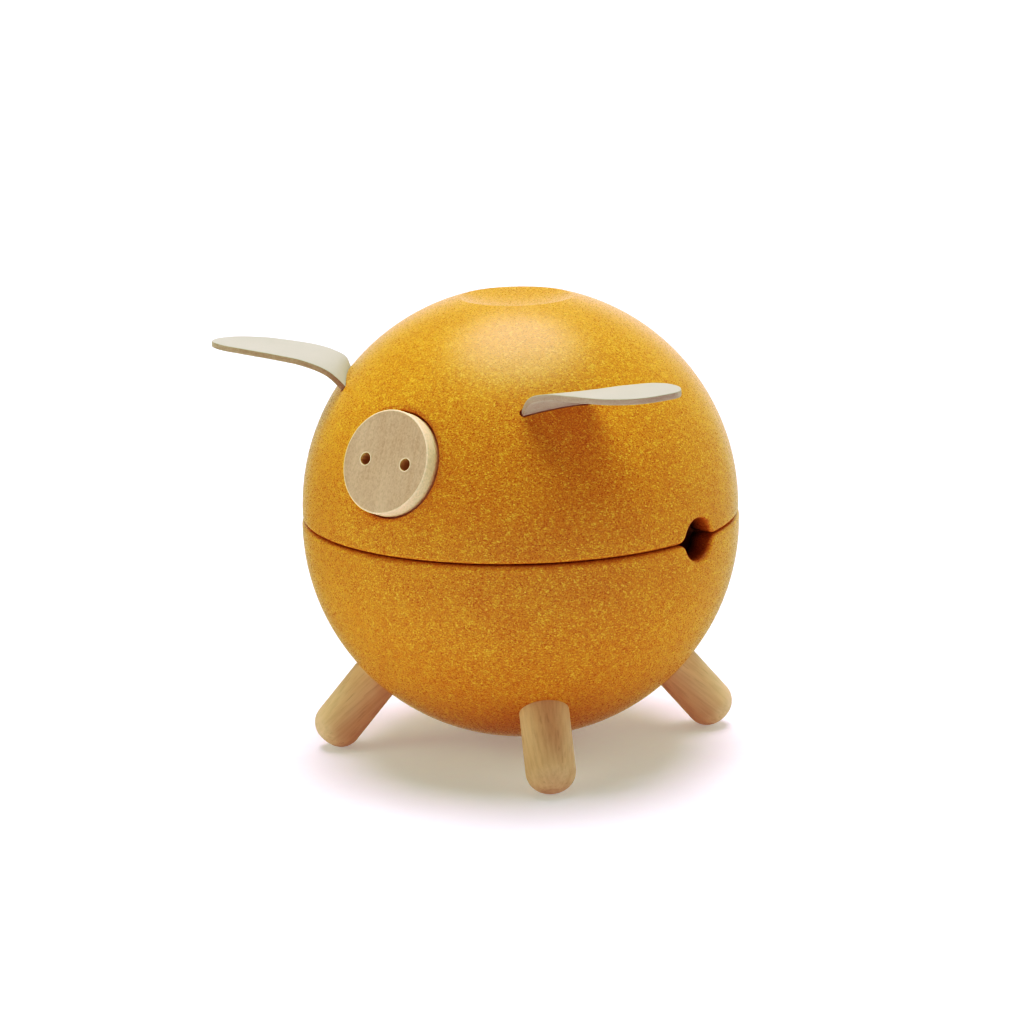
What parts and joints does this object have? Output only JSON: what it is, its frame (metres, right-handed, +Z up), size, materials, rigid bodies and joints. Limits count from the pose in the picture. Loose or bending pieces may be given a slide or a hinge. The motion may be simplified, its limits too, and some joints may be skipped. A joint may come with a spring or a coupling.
{
  "type": "money box",
  "caption": "Pig-shaped wooden money box: a hollow split ball on splayed dowel legs, with a disc snout, leather leaf ears and a coin slot; the upper half lifts off.",
  "frame": {"origin": "on the floor under the ball's upright axis, where the four feet stand", "axes": "+Z up, -Y the way the face looks, +X towards the pig's own left ear"},
  "size_m": [0.142, 0.1117, 0.114],
  "materials": {
    "pressed_wood": "satin stain",
    "dowel_wood": "satin clear",
    "snout_wood": "matte sanded",
    "ring_wood": "matte sanded",
    "ear_leather": "smooth matte"
  },
  "bodies": {
    "base": {"lower_shell": "pressed_wood", "register_ring": "ring_wood", "leg_front_left": "dowel_wood", "leg_front_right": "dowel_wood", "leg_rear_left": "dowel_wood", "leg_rear_right": "dowel_wood"},
    "lid": {"upper_shell": "pressed_wood", "snout": "snout_wood", "ear_left": "ear_leather", "ear_right": "ear_leather"}
  },
  "joints": [
    {"name": "lid_lift", "type": "slide", "parent": "base", "child": "lid", "axis": [0, 0, 1], "range_m": [0, 0.08]}
  ]
}
